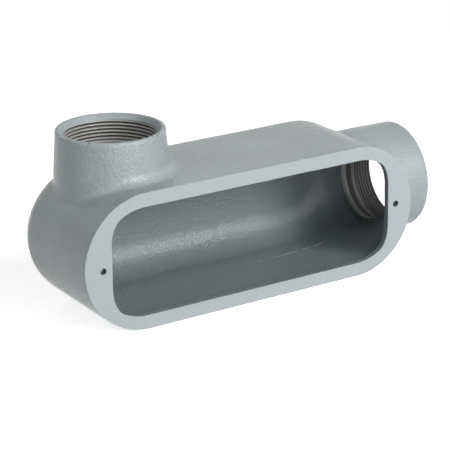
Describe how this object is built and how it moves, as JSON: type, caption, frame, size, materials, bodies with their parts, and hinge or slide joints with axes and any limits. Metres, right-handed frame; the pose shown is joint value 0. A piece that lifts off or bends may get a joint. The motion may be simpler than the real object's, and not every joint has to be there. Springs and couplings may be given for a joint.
{
  "type": "conduit body",
  "caption": "Cast iron conduit body: a trough with an open cover face, a threaded side hub near one end and a straight threaded hub at the other.",
  "frame": {"origin": "middle of the cover face, halfway between the two cover screw holes", "axes": "+X along the trough towards the straight hub, -Y out of the open cover face, +Z along the side hub, with the long side lying on the ground"},
  "size_m": [0.2625, 0.0865, 0.1111],
  "materials": {
    "painted_iron": "satin grey enamel over sand-cast iron",
    "cut_thread": "bare cut metal of the pipe threads"
  },
  "bodies": {
    "root": {"conduit_body": "painted_iron"}
  },
  "joints": []
}
